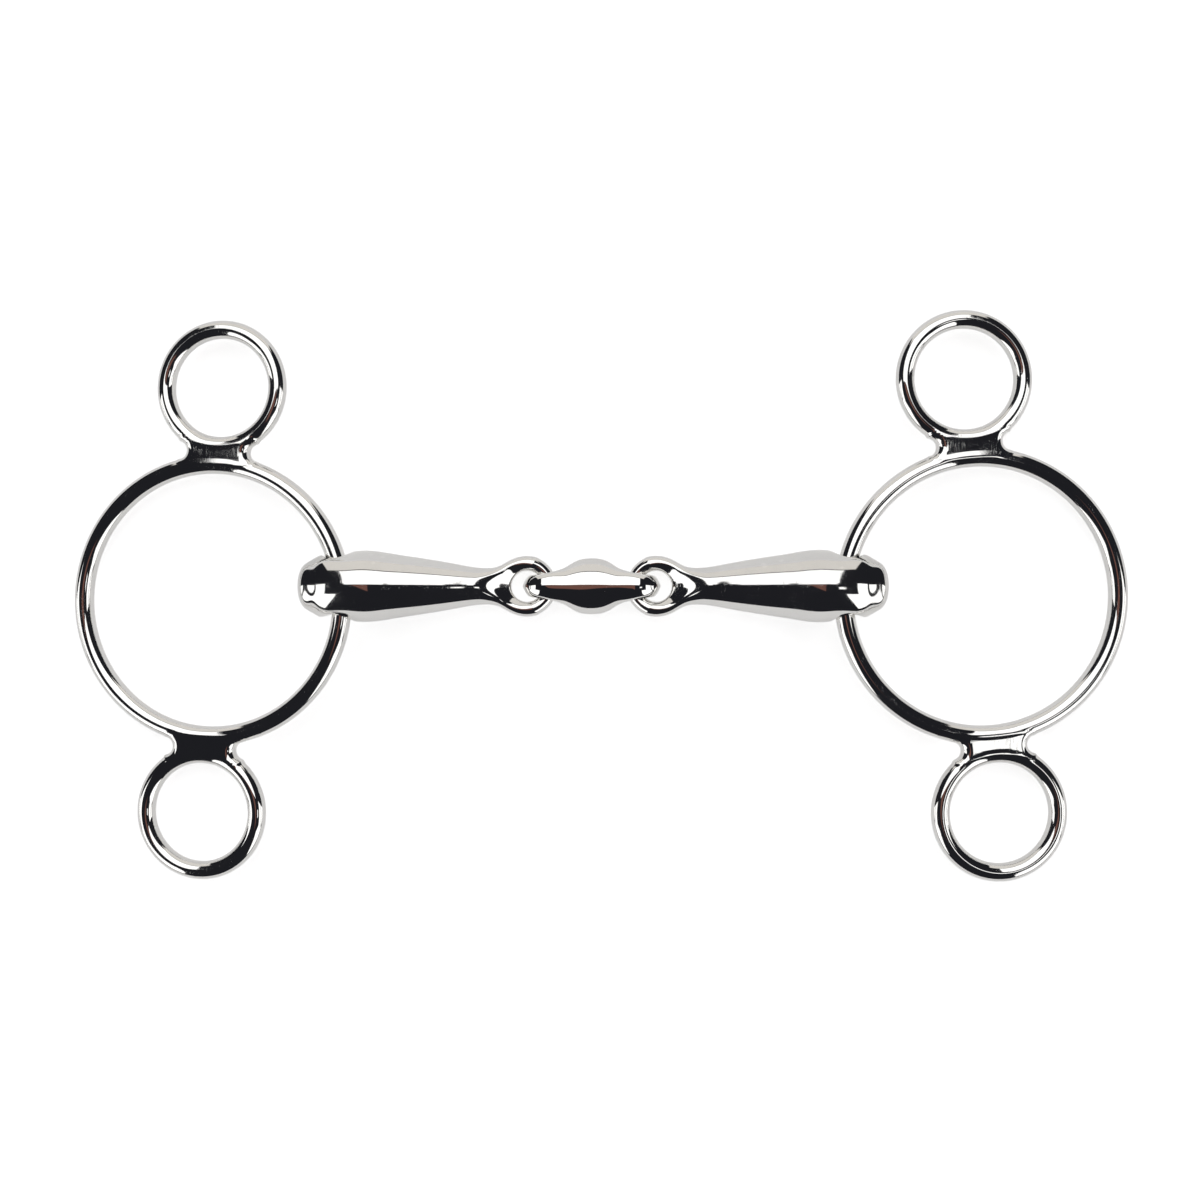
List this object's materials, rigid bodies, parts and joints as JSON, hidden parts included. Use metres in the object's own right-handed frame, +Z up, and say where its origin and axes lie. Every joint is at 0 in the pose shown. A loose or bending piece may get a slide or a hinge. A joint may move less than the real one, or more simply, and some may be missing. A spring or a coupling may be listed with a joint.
{
  "type": "three-ring gag snaffle bit",
  "caption": "Polished steel horse bit with a double-jointed lozenge mouthpiece and a large ring between two small rings on each side.",
  "frame": {"origin": "on the surface that the bit lies on, under the middle of the whole bit", "axes": "+X along the mouthpiece to the right-hand rings, +Y towards the headstall rings, +Z up from the surface"},
  "size_m": [0.262, 0.1401, 0.0181],
  "materials": {
    "polished_link": "mirror-polished stainless steel",
    "polished_mouthpiece": "mirror-polished stainless steel",
    "polished_rings": "mirror-polished stainless steel"
  },
  "bodies": {
    "lozenge_link": {"lozenge_link": "polished_link"},
    "left_cannon": {"left_cannon": "polished_mouthpiece"},
    "left_cheek": {"left_cheek": "polished_rings"},
    "right_cannon": {"right_cannon": "polished_mouthpiece"},
    "right_cheek": {"right_cheek": "polished_rings"}
  },
  "joints": [
    {"name": "left_fold", "type": "hinge", "parent": "lozenge_link", "child": "left_cannon", "pos_m": [-0.0103, 0.0029, 0.0053], "axis": [0, 1, 0], "range_deg": [-44.58, 35.42]},
    {"name": "left_swivel", "type": "hinge", "parent": "left_cannon", "child": "left_cheek", "pos_m": [-0.06233, 0.0029, 0.00946], "axis": [0, 1, 0], "range_deg": [-79.29, 100.71]},
    {"name": "right_fold", "type": "hinge", "parent": "lozenge_link", "child": "right_cannon", "pos_m": [0.0103, 0.0029, 0.0053], "axis": [0, -1, 0], "range_deg": [-44.58, 35.42]},
    {"name": "right_swivel", "type": "hinge", "parent": "right_cannon", "child": "right_cheek", "pos_m": [0.06233, 0.0029, 0.00946], "axis": [0, -1, 0], "range_deg": [-79.3, 100.7]}
  ]
}
